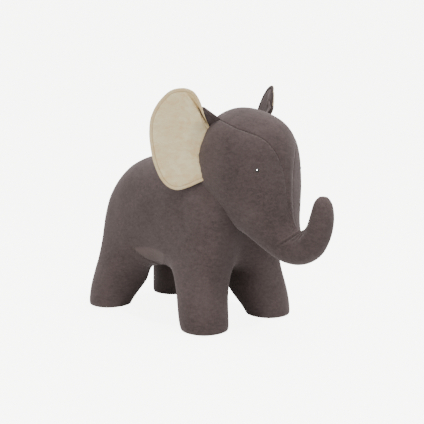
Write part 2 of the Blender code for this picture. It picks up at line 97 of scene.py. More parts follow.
class Board:
    # the node tree of one material, or of the world round the studio
    def __init__(self, name, world=None):
        self.material = world or bpy.data.materials.new(name)
        self.material.use_nodes = True
        self.tree = self.material.node_tree
        self.shader = self.tree.nodes["Background" if world else "Principled BSDF"]
        self.spot = 0

    def node(self, kind, settings=None, values=(), out=0):
        made = self.tree.nodes.new(kind)
        self.spot += 1
        made.location = (-220 * (1 + self.spot % 9), -180 * (self.spot // 9))
        for key, value in (settings or {}).items():
            if key == "stops":
                ramp = made.color_ramp
                while len(ramp.elements) < len(value):
                    ramp.elements.new(0.5)
                for element, (place, colour) in zip(ramp.elements, value):
                    element.position, element.color = place, colour
            else:
                setattr(made, key, value)
        pairs = values.items() if isinstance(values, dict) else enumerate(values)
        for key, value in pairs:
            socket = made.inputs[key] if isinstance(key, int) else self.find(made.inputs, key)
            if isinstance(value, Wire):
                self.tree.links.new(value.socket, socket)
            else:
                socket.default_value = value
        socket = made.outputs[out] if isinstance(out, int) else self.find(made.outputs, out)
        return Wire(self, socket)

    @staticmethod
    def find(sockets, key):
        for socket in sockets:
            if socket.identifier == key and socket.enabled:
                return socket
        return sockets[key]

    def mix(self, factor, first, second, blend="MIX"):
        return self.node("ShaderNodeMix", {"data_type": "RGBA", "blend_type": blend},
                         {"Factor_Float": factor, "A_Color": first, "B_Color": second},
                         "Result_Color")

    def place(self, stretch=(1, 1, 1), turn=(0, 0, 0), warp=None):
        where = self.node("ShaderNodeTexCoord", out="Object")
        if warp is not None:
            where = self.node("ShaderNodeVectorMath", {"operation": "ADD"}, (where, warp))
        return self.node("ShaderNodeMapping", {}, {"Vector": where, "Scale": stretch,
                                                   "Rotation": turn})

    def grain(self, scale, detail=2.0, rough=0.5, spread=0.0, **placing):
        return self.node("ShaderNodeTexNoise", {}, {"Vector": self.place(**placing),
                         "Scale": scale, "Detail": detail, "Roughness": rough,
                         "Distortion": spread}, "Fac")

    def mark(self, name):
        return self.node("ShaderNodeAttribute", {"attribute_name": name}, out="Fac")

    def bump(self, height, strength, distance):
        return self.node("ShaderNodeBump", {}, {"Strength": strength, "Distance": distance,
                                                "Height": height}, "Normal")

    def feed(self, **links):
        for key, value in links.items():
            socket = self.shader.inputs[key.replace("_", " ")]
            if isinstance(value, Wire):
                self.tree.links.new(value.socket, socket)
            else:
                socket.default_value = value
        return self.material


def tone(red, green, blue):
    # a colour given as it looks on screen, 0 to 255
    def linear(c):
        c /= 255
        return c / 12.92 if c <= 0.04045 else ((c + 0.055) / 1.055) ** 2.4
    return (linear(red), linear(green), linear(blue), 1.0)


def smoothStep(low, high, x):
    t = min(1.0, max(0.0, (x - low) / (high - low)))
    return t * t * (3 - 2 * t)


def bell(distance, width):
    # 1 on a line, falling softly to 0 over a few widths
    return math.exp(-(distance / width) ** 2)


def meshOf(name, bm, outwards=True, smooth=True):
    # plain mesh data from a built shape
    if outwards:
        bmesh.ops.recalc_face_normals(bm, faces=bm.faces)
    for f in bm.faces if smooth else ():
        f.smooth = True
    mesh = bpy.data.meshes.new(name)
    bm.to_mesh(mesh)
    bm.free()
    return mesh


# materials
napShares = {"patch": 0.35, "brush": 0.4, "fibre": 0.25}


def suede(name, look):
    # short-nap fabric: brushed patches, soft mottling, fibre grain, painted shade in its seams,
    # creases and folds, deeper along a hem, and a panel painted paler as painted light
    b = Board(name)
    drift = b.node("ShaderNodeTexNoise", {}, {"Vector": b.place(), "Scale": 14.0, "Detail": 2.0},
                   "Color")
    patch = b.grain(look["patchScale"], 3.0, 0.55, 0.4)
    brush = b.grain(look["brushScale"], 3.0, 0.6, 0.8, stretch=(0.7, 0.7, 1.3),
                    turn=(0.5, 0.4, 0.0))
    fibre = b.grain(look["fibreScale"], 2.0, 0.7, warp=b.node(
        "ShaderNodeVectorMath", {"operation": "SCALE"}, {0: drift, "Scale": 0.01}))
    fleck = b.grain(look["fleckScale"], 1.0, 0.5)
    nap = (patch * napShares["patch"] + brush * napShares["brush"]
           + fibre * napShares["fibre"] - 0.5) * look["contrast"] + 0.5
    cloth = b.mix(nap.clamped(), look["dark"], look["light"])
    cloth = b.mix(fleck * look["fleck"], cloth, look["warm"])
    # painted light: the underside's panel on the flank is painted paler
    cloth = b.mix(b.mark("paleNap") * look["paintedLightShare"], cloth, look["paintedLightTone"])
    cloth = b.mix(b.mark("hem") * look["hemDeep"], cloth, look["hem"])
    # painted shade along seams, creases, folds, the pleat's opening and where an ear meets the
    # head
    cloth = b.mix(b.mark("seam") * look["seamPaintedShade"], cloth, look["shadow"])
    rough = 0.80 + (brush - 0.5) * 0.18 + fibre * 0.1
    height = fibre * 0.55 + fleck * 0.35 + brush * 0.6
    return b.feed(Base_Color=cloth, Roughness=rough, Normal=b.bump(height, look["bump"], 0.0012),
                  Sheen_Weight=look["sheen"], Sheen_Roughness=0.45, Sheen_Tint=look["sheenTint"],
                  Specular_IOR_Level=0.18)


# each look holds a colour of painted shade for seams, creases and folds, and a paler colour of
# painted light for the underside's panel
greySuede = suede("greySuede", {
    "dark": tone(55, 45, 45), "light": tone(98, 86, 85), "warm": tone(107, 91, 87),
    "shadow": tone(22, 16, 16), "paintedLightTone": tone(112, 98, 95), "hem": tone(48, 40, 39),
    "seamPaintedShade": 0.5, "paintedLightShare": 0.6, "hemDeep": 0.45, "contrast": 3.2, "fleck": 0.45,
    "patchScale": 9.0, "brushScale": 120.0, "fibreScale": 520.0, "fleckScale": 230.0,
    "bump": 0.4, "sheen": 0.38, "sheenTint": tone(205, 195, 195)})
creamSuede = suede("creamSuede", {
    "dark": tone(236, 203, 145), "light": tone(255, 247, 208), "warm": tone(246, 214, 156),
    "shadow": tone(150, 118, 78), "paintedLightTone": tone(255, 248, 226), "hem": tone(228, 200, 152),
    "seamPaintedShade": 0.45, "paintedLightShare": 0.6, "hemDeep": 0.5, "contrast": 3.6, "fleck": 0.25,
    "patchScale": 26.0, "brushScale": 70.0, "fibreScale": 620.0, "fleckScale": 260.0,
    "bump": 0.3, "sheen": 0.2, "sheenTint": tone(250, 240, 220)})


def beadGloss(name, look):
    b = Board(name)
    haze = b.grain(220.0, 3.0, 0.6)
    scuff = b.grain(900.0, 2.0, 0.5, stretch=(1.0, 4.0, 1.0))
    shade = b.mix(haze, look["deep"], look["core"])
    rough = look["rough"] + haze * 0.05 + (scuff ** 6.0) * 0.2
    return b.feed(Base_Color=shade, Roughness=rough, Normal=b.bump(haze, 0.03, 0.0002),
                  Coat_Weight=0.6, Coat_Roughness=0.03)


def moulded(name, look):
    b = Board(name)
    spark = b.grain(1500.0, 2.0, 0.6)
    wear = b.grain(130.0, 4.0, 0.6, 0.6)
    shade = b.mix((wear * 1.6 - 0.5).clamped(), look["dark"], look["light"])
    return b.feed(Base_Color=shade, Roughness=0.42 + wear * 0.2,
                  Normal=b.bump(spark, 0.25, 0.0003))


def timber(name, look):
    # long grain along one axis, with growth bands and pores
    b = Board(name)
    sway = b.grain(6.0, 2.0, 0.5, stretch=look["along"])
    bands = b.node("ShaderNodeTexWave", {"wave_type": "BANDS", "bands_direction": look["bands"]},
                   {"Vector": b.place(stretch=look["along"]), "Scale": look["bandScale"],
                    "Distortion": 7.0, "Detail": 3.0, "Detail Scale": 1.2}, "Fac")
    pores = b.grain(900.0, 2.0, 0.6, stretch=look["along"])
    shade = b.mix((bands * 0.7 + sway * 0.3).clamped(), look["late"], look["early"])
    shade = b.mix((pores ** 5.0) * 0.8, shade, look["pore"])
    return b.feed(Base_Color=shade, Roughness=0.55 + bands * 0.15,
                  Normal=b.bump(bands * 0.4 + pores * 0.6, 0.3, 0.0005))


def plated(name, look):
    b = Board(name)
    spin = b.grain(700.0, 2.0, 0.6, stretch=(1.0, 1.0, 6.0))
    stain = b.grain(160.0, 4.0, 0.6)
    shade = b.mix(stain, look["bright"], look["dull"])
    return b.feed(Base_Color=shade, Metallic=1.0, Roughness=0.28 + stain * 0.25,
                  Normal=b.bump(spin, 0.15, 0.0002))


def openFoam(name, look):
    b = Board(name)
    cells = b.node("ShaderNodeTexVoronoi", {"feature": "F1"}, {"Vector": b.place(),
                   "Scale": 900.0}, "Distance")
    dust = b.grain(20.0, 4.0, 0.6)
    shade = b.mix((cells * 1.4).clamped(), look["pit"], look["skin"])
    shade = b.mix(dust * 0.35, shade, look["aged"])
    return b.feed(Base_Color=shade, Roughness=0.9 + dust * 0.08,
                  Normal=b.bump(cells, 0.5, 0.0008))


def twistedThread(name, look):
    # polyester thread: fine ply lines and slight shine
    b = Board(name)
    ply = b.grain(1800.0, 2.0, 0.5, 1.5)
    dirt = b.grain(60.0, 3.0, 0.6)
    shade = b.mix((ply * 0.7 + dirt * 0.3).clamped(), look["dark"], look["light"])
    return b.feed(Base_Color=shade, Roughness=0.5 + ply * 0.25,
                  Normal=b.bump(ply, 0.4, 0.0002))


creamThread = twistedThread("creamThread", {"dark": tone(176, 156, 122),
                                            "light": tone(206, 188, 156)})
greyThread = twistedThread("greyThread", {"dark": tone(56, 48, 47), "light": tone(84, 75, 74)})
beadBlack = beadGloss("beadBlack", {"deep": tone(5, 4, 4), "core": tone(12, 10, 10),
                                    "rough": 0.05})
glidePlastic = moulded("glidePlastic", {"dark": tone(30, 30, 31), "light": tone(52, 52, 54)})
pineWood = timber("pineWood", {"along": (1.0, 0.12, 1.0), "bands": "X", "bandScale": 26.0,
                               "early": tone(219, 184, 134), "late": tone(176, 128, 78),
                               "pore": tone(120, 82, 48)})
postWood = timber("postWood", {"along": (1.0, 1.0, 0.12), "bands": "DIAGONAL", "bandScale": 20.0,
                               "early": tone(216, 180, 130), "late": tone(170, 124, 76),
                               "pore": tone(116, 80, 48)})
plyWood = timber("plyWood", {"along": (1.0, 0.2, 14.0), "bands": "Z", "bandScale": 8.0,
                             "early": tone(214, 184, 142), "late": tone(178, 140, 98),
                             "pore": tone(126, 92, 60)})
zincPlate = plated("zincPlate", {"bright": tone(205, 206, 204), "dull": tone(150, 152, 154)})
creamFoam = openFoam("creamFoam", {"pit": tone(176, 158, 112), "skin": tone(236, 224, 188),
                                   "aged": tone(206, 184, 124)})
print("materials made")


# sewn forms
bodyPlan = {
    # y, then (x, z) of ridge, shoulder, flank, side, outer leg top, seam, inner leg top, belly
    "sections": [
        (-0.228, [(0, 0.385), (0.055, 0.372), (0.098, 0.320), (0.118, 0.245),
                  (0.134, 0.150), (0.100, 0.112), (0.050, 0.138), (0, 0.165)]),
        (-0.168, [(0, 0.428), (0.066, 0.414), (0.112, 0.356), (0.129, 0.262),
                  (0.145, 0.150), (0.110, 0.100), (0.046, 0.130), (0, 0.144)]),
        (-0.085, [(0, 0.430), (0.070, 0.416), (0.119, 0.360), (0.135, 0.270),
                  (0.138, 0.175), (0.106, 0.118), (0.050, 0.124), (0, 0.127)]),
        (0.000, [(0, 0.430), (0.073, 0.416), (0.124, 0.360), (0.140, 0.275),
                 (0.136, 0.200), (0.102, 0.149), (0.055, 0.130), (0, 0.122)]),
        (0.085, [(0, 0.431), (0.072, 0.418), (0.122, 0.361), (0.137, 0.272),
                 (0.138, 0.175), (0.106, 0.118), (0.050, 0.124), (0, 0.127)]),
        (0.166, [(0, 0.412), (0.067, 0.399), (0.115, 0.345), (0.133, 0.256),
                 (0.148, 0.150), (0.112, 0.100), (0.046, 0.130), (0, 0.144)]),
        (0.225, [(0, 0.356), (0.056, 0.344), (0.100, 0.295), (0.120, 0.226),
                 (0.136, 0.150), (0.104, 0.112), (0.050, 0.138), (0, 0.165)])],
    # height over the sole, centre x, centre y, radius, spread towards the belly, flare
    # towards the middle of the flank
    "legs": [(0.078, 0.1105, 0.184, 0.061, 0.054, 0.012),
             (0.034, 0.115, 0.1895, 0.0625, 0.018, 0.007),
             (0.0075, 0.116, 0.191, 0.0627, 0.0, 0.001),
             (0.0012, 0.116, 0.191, 0.0615, 0.0, 0.0),
             (0.0, 0.116, 0.191, 0.0550, 0.0, 0.0)],
    # every other corner of a leg's ring stands out by legCorners; the ways are in degrees
    "legCorners": 1.06, "spreadWay": 135, "flareWay": 45,
    # how far the inner leg reaches along the belly, as a part of its section's y
    "legReach": 0.87, "soleHeight": 0.0027,
    # the patch that closes each end: its rows are half width, share of the way down at the
    # side and in the middle, and how many bulges the lower rows are tucked back
    "bulge": 0.012, "upperRow": (0.058, 0.36, 0.33), "lowerRow": (0.062, 0.70, 0.72),
    "lowerTuck": 2.2, "bellyTuck": 2.6,
    "seamWidth": 0.0009, "seamDepth": 0.0009, "valleyWidth": 0.006, "valleyDepth": 0.0007,
    "unevenness": 0.0009,
    # the underside's panel shows on the flank, between heights "meets" and "top", and is painted
    # paler there as painted light; the fold along its lower edge gets painted shade. The pairs are
    # distances along the body from its middle between which a crease comes or goes
    "arch": {"top": 0.191, "topBow": 2.6, "meets": 0.130, "meetsBow": 7.5, "meetsFrom": 0.012,
             "inner": 0.07, "reach": 0.10, "depth": 0.0022, "width": 0.0040, "overlap": 0.5,
             "turn": 0.0012, "dark": 0.45, "foldStarts": (0.004, 0.020),
             "foldEnds": (0.066, 0.085), "turnEnds": (0.06, 0.095), "panelEnds": (0.068, 0.082),
             "lowerBlur": 0.004, "upperBlur": 0.010}}


def bodyCage(plan):
    # half of the body at +X: rings along Y, a patch at each end and two legs
    bm = bmesh.new()
    sections = plan["sections"]
    last = len(sections) - 1
    ring = [[bm.verts.new((x, y, z)) for x, z in half] for y, half in sections]

    def face(*corners):
        bm.faces.new(corners)

    def seam(*run):
        for a, b in zip(run, run[1:]):
            bm.edges.get((a, b)).seam = True

    for j in range(last):
        for k in range(7):
            if k not in (4, 5) or j not in (0, 1, last - 2, last - 1):
                face(ring[j][k], ring[j][k + 1], ring[j + 1][k + 1], ring[j + 1][k])
    for j in (1, last - 1):
        bm.verts.remove(ring[j][5])
    for j in (2, last - 2):
        for k in (5, 6):
            ring[j][k].co.y *= plan["legReach"]
    (width1, side1Down, middle1Down), (width2, side2Down, middle2Down) = (
        plan["upperRow"], plan["lowerRow"])
    for j, bulge in ((0, -plan["bulge"]), (last, plan["bulge"])):
        a, y = ring[j], sections[j][0] + bulge
        top, low = a[0].co.z, a[7].co.z
        middle1 = bm.verts.new((0, y, top + (low - top) * middle1Down))
        middle2 = bm.verts.new((0, y - bulge * plan["lowerTuck"],
                                top + (low - top) * middle2Down))
        side1 = bm.verts.new((width1, y, top + (low - top) * side1Down))
        side2 = bm.verts.new((width2, y, top + (low - top) * side2Down))
        a[7].co.y -= bulge * plan["bellyTuck"]
        face(a[0], a[1], side1, middle1)
        face(a[1], a[2], a[3], side1)
        face(middle1, side1, side2, middle2)
        face(side1, a[3], a[4], side2)
        face(middle2, side2, a[6], a[7])
        face(side2, a[4], a[5], a[6])
    for way, (j0, j1, j2) in ((-1, (0, 1, 2)), (1, (last, last - 1, last - 2))):
        above = [ring[j0][4], ring[j1][4], ring[j2][4], ring[j2][5],
                 ring[j2][6], ring[j1][6], ring[j0][6], ring[j0][5]]
        # angles run from the outer end corner round the outside to the belly, and back
        inwards, flank = math.radians(plan["spreadWay"]), math.radians(plan["flareWay"])
        for height, cx, cy, radius, spread, flare in plan["legs"]:
            below = []
            for i in range(8):
                angle = math.radians(-45 + 45 * i)
                r = radius * (plan["legCorners"] if i % 2 == 0 else 1.0)
                s = spread * max(0.0, math.cos(angle - inwards)) ** 1.5
                f = flare * max(0.0, math.cos(angle - flank)) ** 2
                x = r * math.cos(angle) + s * math.cos(inwards) + f * math.cos(flank)
                y = r * math.sin(angle) + s * math.sin(inwards) + f * math.sin(flank)
                below.append(bm.verts.new((cx + x, way * (cy - y), plan["soleHeight"] + height)))
            for i in range(8):
                face(above[i], below[i], below[(i + 1) % 8], above[(i + 1) % 8])
            seam(above[4], below[4])
            if height == 0:
                seam(*above, above[0])
            above = below
        centre = bm.verts.new((plan["legs"][-1][1], way * plan["legs"][-1][2],
                               plan["soleHeight"]))
        for i in (1, 3, 5, 7):
            face(above[i], centre, above[(i + 2) % 8], above[(i + 1) % 8])
        seam(*ring[j2][5:8])
    seam(*[ring[j][5] for j in range(2, last - 1)])
    return bm


def bodyCreases(co):
    # the leg overlaps the underside's panel in a soft fold, and the flank turns under above it:
    # how far a point moves out, how much painted light the panel gets, how much painted shade the
    # fold gets
    arch, away = bodyPlan["arch"], abs(co.y)
    if abs(co.x) < arch["inner"] or away > arch["reach"]:
        return 0.0, 0.0, 0.0
    meets = arch["meets"] + arch["meetsBow"] * (away + arch["meetsFrom"]) ** 2
    top = arch["top"] - arch["topBow"] * away * away
    w = arch["width"]
    fade = smoothStep(*arch["foldStarts"], away) * (1 - smoothStep(*arch["foldEnds"], away))
    groove = bell(co.z - meets, w)
    over = bell(co.z - meets + 2.4 * w, 1.6 * w)
    turn = bell(co.z - top, 3.0 * w) * (1 - smoothStep(*arch["turnEnds"], away))
    inside = smoothStep(meets, meets + arch["lowerBlur"], co.z)
    inside *= 1 - smoothStep(top - arch["upperBlur"], top, co.z)
    inside *= 1 - smoothStep(*arch["panelEnds"], away)
    step = arch["depth"] * (arch["overlap"] * over - groove) * fade + arch["turn"] * turn
    return step, inside, arch["dark"] * groove * fade


headPlan = {
    # (y, z) on top, (y, z) underneath, half width, half width of the gusset
    "rings": [
        ((-0.098, 0.450), (-0.090, 0.375), 0.040, 0.014),
        ((-0.117, 0.500), (-0.098, 0.330), 0.080, 0.031),
        ((-0.162, 0.547), (-0.127, 0.285), 0.110, 0.060),
        ((-0.220, 0.567), (-0.183, 0.248), 0.121, 0.095),
        ((-0.291, 0.560), (-0.228, 0.233), 0.120, 0.106),
        ((-0.345, 0.503), (-0.255, 0.220), 0.107, 0.060),
        ((-0.358, 0.415), (-0.282, 0.206), 0.086, 0.004),
        ((-0.360, 0.340), (-0.307, 0.193), 0.066, 0.003),
        ((-0.364, 0.285), (-0.330, 0.181), 0.052, 0.003),
        ((-0.380, 0.253), (-0.362, 0.172), 0.042, 0.004),
        ((-0.401, 0.256), (-0.412, 0.174), 0.037, 0.005),
        ((-0.413, 0.270), (-0.459, 0.207), 0.034, 0.005),
        ((-0.421, 0.297), (-0.480, 0.270), 0.031, 0.005),
        ((-0.4255, 0.315), (-0.4795, 0.303), 0.0285, 0.004),
        ((-0.4320, 0.331), (-0.4755, 0.326), 0.0230, 0.004),
        ((-0.4445, 0.3410), (-0.4635, 0.3393), 0.0100, 0.003)],
    # degrees round a ring from its top; None is the gusset's edge
    "angles": [0, None, 66, 92, 128, 155, 180],
    "seamWidth": 0.0010, "seamDepth": 0.0010, "valleyWidth": 0.006, "valleyDepth": 0.0008,
    "unevenness": 0.0010,
    # gathers where the trunk turns up out of the face: upper end (y, z), lower end, depth
    "folds": [((-0.396, 0.262), (-0.361, 0.222), 0.0024),
              ((-0.405, 0.262), (-0.390, 0.232), 0.0017),
              ((-0.414, 0.264), (-0.405, 0.236), 0.0014),
              ((-0.362, 0.236), (-0.342, 0.219), 0.0010),
              ((-0.421, 0.271), (-0.418, 0.250), 0.0009),
              ((-0.380, 0.232), (-0.372, 0.212), 0.0009)],
    # the folds lie forward of foldsFrom and below foldsTop; their painted shade is given for each
    # metre of fold depth
    "foldWidth": 0.0021, "foldBow": 7.0, "foldRunOut": 1.25, "foldLip": 0.6, "foldPaintedShade": 150,
    "foldsFrom": -0.29, "foldsTop": 0.30}
eyePlan = {
    # one eye in body measurements, from the head's middle plane
    "at": (0.0778, -0.3263, 0.3961), "dimple": 0.0021, "dimpleWidth": 0.0080, "sink": 0.0011,
    "around": 40,
    # half section of the bead and its shank: distance from the axis, height over the cloth
    "profile": [(0.0, 0.0037), (0.0012, 0.00362), (0.0024, 0.00335), (0.0035, 0.00285),
                (0.0044, 0.00215), (0.0050, 0.00135), (0.0053, 0.0005), (0.0052, -0.0003),
                (0.0046, -0.0009), (0.0030, -0.0012), (0.0016, -0.0014), (0.0015, -0.0100),
                (0.0, -0.0104)]}


def headCage(plan):
    # half of the head and trunk at +X: half rings from the nape to the trunk's tip
    bm = bmesh.new()
    rings = []
    for top, bottom, width, gusset in plan["rings"]:
        top, bottom = Vector((0, *top)), Vector((0, *bottom))
        middle, up = (top + bottom) / 2, (top - bottom) / 2
        row = []
        for degrees in plan["angles"]:
            angle = math.asin(gusset / width) if degrees is None else math.radians(degrees)
            row.append(bm.verts.new(middle + up * math.cos(angle)
                                    + Vector((width * math.sin(angle), 0, 0))))
        rings.append(row)
    for a, b in zip(rings, rings[1:]):
        for k in range(6):
            bm.faces.new((a[k], b[k], b[k + 1], a[k + 1]))
        bm.edges.get((a[1], b[1])).seam = True
    for row in (rings[0], rings[-1]):
        for corners in ((0, 1, 2, 3), (0, 3, 4, 6), (4, 5, 6)):
            bm.faces.new([row[k] for k in corners])
    return bm

def smoothForm(bm, levels):
    # the cage mirrored and smoothed into plain mesh data
    cage = bpy.data.objects.new("cage", meshOf("cage", bm))
    pieces.objects.link(cage)
    mirror = cage.modifiers.new("otherHalf", "MIRROR")
    mirror.use_clip, mirror.merge_threshold = True, 1e-5
    smooth = cage.modifiers.new("smooth", "SUBSURF")
    smooth.levels = smooth.render_levels = levels
    shape = bpy.data.meshes.new_from_object(
        cage.evaluated_get(bpy.context.evaluated_depsgraph_get()))
    bpy.data.objects.remove(cage)
    return shape


# the stuffed cloth is a little uneven, less so near the soles
lumps = {"wide": 14.0, "narrow": 31.0, "narrowShare": 0.5, "flatBelow": 0.02, "rise": 0.05}


def sew(name, shape, plan, shaping):
    # presses seams into a smooth form: a soft valley along each, and a narrow groove painted dark
    # as painted shade
    bm = bmesh.new()
    bm.from_mesh(shape)
    seamShade = bm.verts.layers.float.new("seam")
    paleNap = bm.verts.layers.float.new("paleNap")
    bm.normal_update()
    seamEdges = [e for e in bm.edges if e.seam]
    seamVerts = {v for e in seamEdges for v in e.verts}
    tree = KDTree(len(seamVerts))
    for i, v in enumerate(seamVerts):
        tree.insert(v.co, i)
    tree.balance()
    moves = []
    for v in bm.verts:
        near = tree.find(v.co)[2]
        step = -plan["valleyDepth"] * bell(near, plan["valleyWidth"])
        lift = noise.noise(v.co * lumps["wide"])
        lift += lumps["narrowShare"] * noise.noise(v.co * lumps["narrow"])
        settled = min(1.0, max(0.0, (v.co.z - lumps["flatBelow"]) / lumps["rise"]))
        step += plan["unevenness"] * lift * settled
        # shaping gives how far a point moves, its painted light and its painted shade
        shaped, v[paleNap], v[seamShade] = shaping(v.co)
        moves.append(v.normal * (step + shaped))
    for v, move in zip(bm.verts, moves):
        v.co += move
    bm.normal_update()
    made = bmesh.ops.bevel(bm, geom=seamEdges, offset=plan["seamWidth"], segments=2,
                           profile=0.5, affect="EDGES", offset_type="OFFSET",
                           clamp_overlap=True)
    fresh = set(made["faces"])
    bm.normal_update()
    for v in made["verts"]:
        if all(f in fresh for f in v.link_faces):
            v.co -= v.normal * plan["seamDepth"]
            v[seamShade] = 1.0
    for e in bm.edges:
        e.seam = False
    return meshOf(name, bm, outwards=False)


def finished(name, mesh, *materials):
    # a piece whose place is in its mesh; the object itself stays at the origin
    for v in mesh.vertices:
        v.co += shift
    for m in materials:
        mesh.materials.append(m)
    piece = bpy.data.objects.new(name, mesh)
    pieces.objects.link(piece)
    return piece


def headCreases(co):
    # a dimple under each eye, and gathers where the trunk turns up out of the face with painted
    # shade in the gathers
    eye = Vector(eyePlan["at"]) - Vector((abs(co.x), co.y, co.z))
    step = -eyePlan["dimple"] * bell(eye.length, eyePlan["dimpleWidth"])
    dark = 0.0
    if co.y < headPlan["foldsFrom"] and co.z < headPlan["foldsTop"]:
        w = headPlan["foldWidth"]
        for upper, lower, depth in headPlan["folds"]:
            upper, lower = Vector(upper), Vector(lower)
            run = (lower - upper).normalized()
            half = (lower - upper).length / 2
            off = Vector((co.y, co.z)) - (upper + lower) / 2
            reach = off.dot(run)
            across = off.x * run.y - off.y * run.x
            across += headPlan["foldBow"] * (reach * reach - half * half)
            fade = max(0.0, 1 - (reach / (headPlan["foldRunOut"] * half)) ** 2)
            fold = fade * bell(across, w)
            step -= depth * fold
            dark = max(dark, headPlan["foldPaintedShade"] * depth * fold)
            step += headPlan["foldLip"] * depth * fade * bell(across + 2.2 * w, 1.3 * w)
    return step, 0.0, dark


bodySkin = finished("bodySkin", sew("bodySkin", smoothForm(bodyCage(bodyPlan), 4), bodyPlan,
                                    bodyCreases), greySuede)
print("body sewn", len(bodySkin.data.polygons))
headSkin = finished("headSkin", sew("headSkin", smoothForm(headCage(headPlan), 4), headPlan,
                                    headCreases), greySuede)
print("head and trunk sewn", len(headSkin.data.polygons))

# ears
earPlan = {
    "base": (0.1178, -0.164), "sweep": 55.0,
    # front outline: distance out from the root, height; lower root corner first, then round.
    # The last six points are inside the head.
    "outline": [(-0.018, 0.3665), (-0.001, 0.3590), (0.018, 0.3505), (0.047, 0.3425),
                (0.0715, 0.350), (0.091, 0.372), (0.1065, 0.411), (0.1135, 0.4515),
                (0.1150, 0.4855), (0.1093, 0.519), (0.0915, 0.552), (0.061, 0.580),
                (0.029, 0.5865), (0.0045, 0.579), (-0.0095, 0.5605), (-0.0165, 0.542),
                (-0.0225, 0.519), (-0.0280, 0.498), (-0.038, 0.482), (-0.046, 0.462),
                (-0.046, 0.435), (-0.044, 0.410), (-0.043, 0.390), (-0.036, 0.375)],
    # where the root meets the head: height, distance out, distance forward
    "root": [(0.364, -0.0153, -0.0079), (0.392, -0.0098, -0.0106), (0.428, -0.0062, -0.0158),
             (0.464, -0.0155, -0.0186), (0.4925, -0.0253, -0.0250), (0.512, -0.0400, -0.0250)],
    "centre": (0.042, 0.462), "hem": 0.0084, "steps": 520,
    # distance in from the edge, half thickness there
    "section": [(0.0008, 0.0015), (0.0020, 0.0024), (0.0038, 0.0028), (0.0056, 0.0026),
                (0.0070, 0.0020), (0.0079, 0.0013), (0.0084, 0.0010), (0.0089, 0.0013),
                (0.0098, 0.0021), (0.0112, 0.0028), (0.0128, 0.0033), (0.0145, 0.0036),
                (0.0162, 0.0038), (0.0180, 0.0040), (0.0200, 0.0041), (0.0222, 0.0042)],
    "middle": 0.0043, "rings": 16,
    # the rim's direction is read over this many points either side, and a ring is moved in
    # along its spoke no further than 1 / squarest times its distance
    "reach": 3, "squarest": 0.45,
    "curl": 0.020, "curlFrom": 0.42, "curlRise": 0.17,
    "dish": -0.008, "dishFrom": -0.02, "dishSpan": 0.135,
    # over these distances out and up the root's own shape gives way to the curl and dish
    "rootOut": (-0.004, 0.044), "rootUp": (0.488, 0.530),
    # short gathers at the root seam: height, lean, depth, how far they run out
    "puckers": [(0.428, 0.10, 0.0020, 0.022), (0.409, -0.15, 0.0013, 0.022),
                (0.390, 0.20, 0.0010, 0.018), (0.450, 0.25, 0.0009, 0.016),
                (0.376, -0.1, 0.0008, 0.014)],
    "puckerFrom": 0.002, "puckerWidth": 0.0036,
    # the ear is painted darker as painted shade where it meets the head, fading over rootBlur
    "lumps": 0.0009, "lumpScale": 34, "hemBlur": 0.0006, "rootPaintedShade": 0.8, "rootBlur": 0.0016,
    # the left ear's front is bound in grey inside this distance out and over this height
    "bound": (-0.006, 0.505)}
pleatPlan = {
    # lower and upper end of the valley; pairs are shares of its length, 0 at its lower end,
    # between which the opening starts, ends or eases to a shallower fold
    "line": ((-0.0245, 0.5025), (0.0180, 0.574)), "depth": 0.012, "ease": 0.6,
    "easing": (0.35, 0.95), "starts": (-0.12, 0.10), "ends": (0.84, 1.10),
    "bow": 0.0025, "strip": 0.0016, "stripGrows": 0.0045, "sag": 0.0015,
    # the panel's own edge stands over the opening, and the opening is painted dark as painted
    # shade
    "lip": 0.0040, "edge": 0.0020, "dark": 1.3,
    # the back stands out behind it
    "swell": 0.8, "swellWidth": 0.013, "swellStarts": (-0.25, 0.15), "swellEnds": (0.60, 1.05)}


def curveThrough(points, count, finer=24):
    # evenly spaced points on a smooth closed curve through the given ones
    n = len(points)
    dense = []
    for i in range(n):
        p = [Vector(points[(i + k) % n]) for k in (-1, 0, 1, 2)]
        for s in range(finer):
            t = s / finer
            dense.append(0.5 * (2 * p[1] + (p[2] - p[0]) * t
                                + (2 * p[0] - 5 * p[1] + 4 * p[2] - p[3]) * t * t
                                + (3 * p[1] - p[0] - 3 * p[2] + p[3]) * t ** 3))
    dense.append(dense[0].copy())
    reach = [0.0]
    for a, b in zip(dense, dense[1:]):
        reach.append(reach[-1] + (b - a).length)
    even, j = [], 0
    for i in range(count):
        want = reach[-1] * i / count
        while j < len(dense) - 2 and reach[j + 1] < want:
            j += 1
        span = max(reach[j + 1] - reach[j], 1e-12)
        even.append(dense[j].lerp(dense[j + 1], (want - reach[j]) / span))
    return even


def between(rows, height, column):
    # a column of a table of heights, read between its rows
    if height <= rows[0][0]:
        return rows[0][column]
    for a, b in zip(rows, rows[1:]):
        if height <= b[0]:
            t = (height - a[0]) / (b[0] - a[0])
            return a[column] + (b[column] - a[column]) * t * t * (3 - 2 * t)
    return rows[-1][column]


def pleatAt(along, height):
    # share of the pleat's length, distance out from its line, its depth there
    (a0, z0), (a1, z1) = pleatPlan["line"]
    t = (height - z0) / (z1 - z0)
    depth = pleatPlan["depth"] * (1 - pleatPlan["ease"] * smoothStep(*pleatPlan["easing"], t))
    return t, along - (a0 + (a1 - a0) * t), depth


